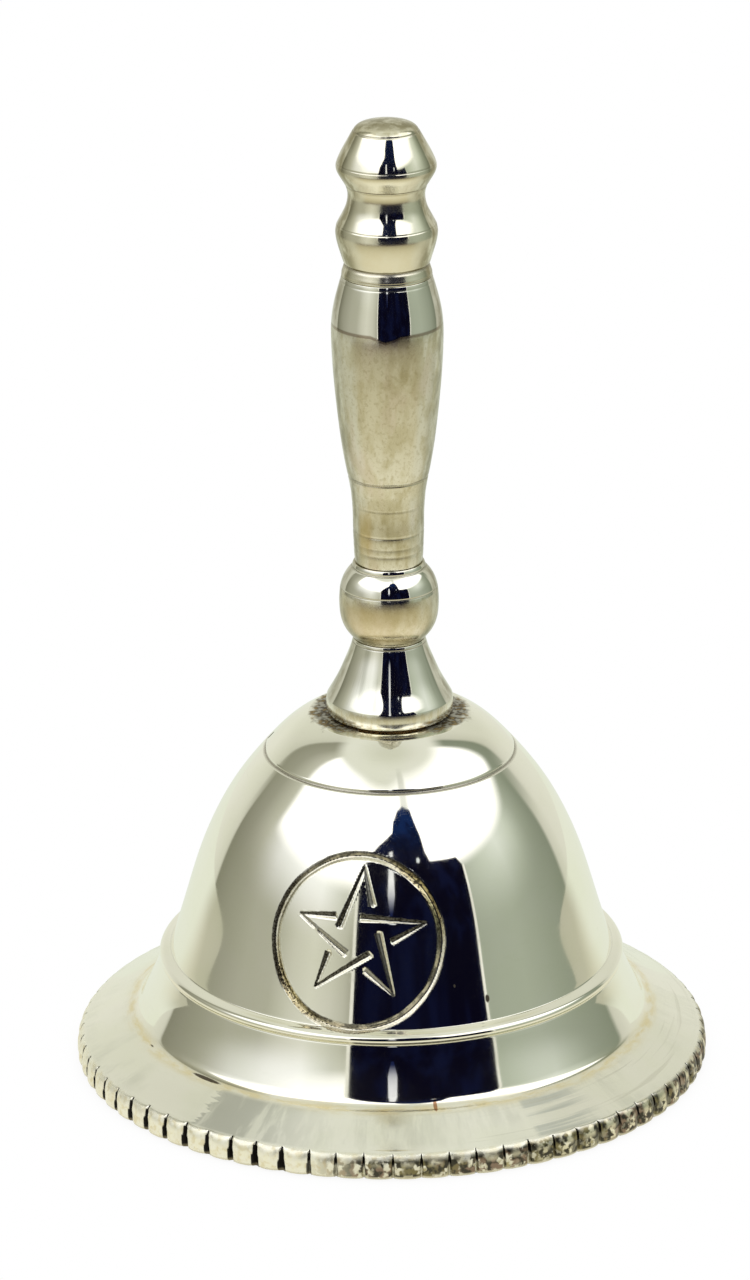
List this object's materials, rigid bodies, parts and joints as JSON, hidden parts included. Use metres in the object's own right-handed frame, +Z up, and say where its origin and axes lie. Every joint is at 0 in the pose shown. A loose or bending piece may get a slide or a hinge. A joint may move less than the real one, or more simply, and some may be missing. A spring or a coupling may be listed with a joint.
{
  "type": "sanctus bell",
  "caption": "Small silver-plated altar hand bell: flared cup with notched lip and engraved badge, turned stacked handle, and a clapper hung on a wire ring.",
  "frame": {"origin": "centre of the cup's mouth, on the plane of the lip's flat underside", "axes": "+Z up along the handle, -Y the front, which carries the engraved badge, +X to the right seen from the front"},
  "size_m": [0.05, 0.05, 0.0762],
  "materials": {
    "silver_plate": "polished silver plate on turned brass, slightly tarnished",
    "silver_plate_worn": "duller silver plate, worn towards the brass",
    "washer_leather": "thin dark leather, compressed",
    "rod_brass": "plain brass M3 rod",
    "washer_steel": "dull zinc-plated steel",
    "nut_brass": "plain brass",
    "ring_wire": "drawn steel wire",
    "stem_wire": "drawn steel wire, forged eye",
    "ball_brass": "turned brass ball, dull"
  },
  "bodies": {
    "bell": {"bell_cup": "silver_plate", "finial": "silver_plate", "handle_grip": "silver_plate_worn", "collar_bead": "silver_plate_worn", "foot_cone": "silver_plate", "foot_washer": "washer_leather", "tie_rod": "rod_brass", "crown_washer": "washer_steel", "lock_nut": "nut_brass"},
    "hanger": {"hanger_ring": "ring_wire"},
    "clapper": {"clapper_stem": "stem_wire", "clapper_ball": "ball_brass"}
  },
  "joints": [
    {"name": "hanger_twist", "type": "hinge", "parent": "bell", "child": "hanger", "pos_m": [0, 0, 0.0205], "axis": [0, 0, 1], "range_deg": [-30, 30]},
    {"name": "clapper_swing", "type": "hinge", "parent": "hanger", "child": "clapper", "pos_m": [0, 0, 0.01842], "axis": [0, 1, 0], "range_deg": [-55.5, 55.5]}
  ]
}
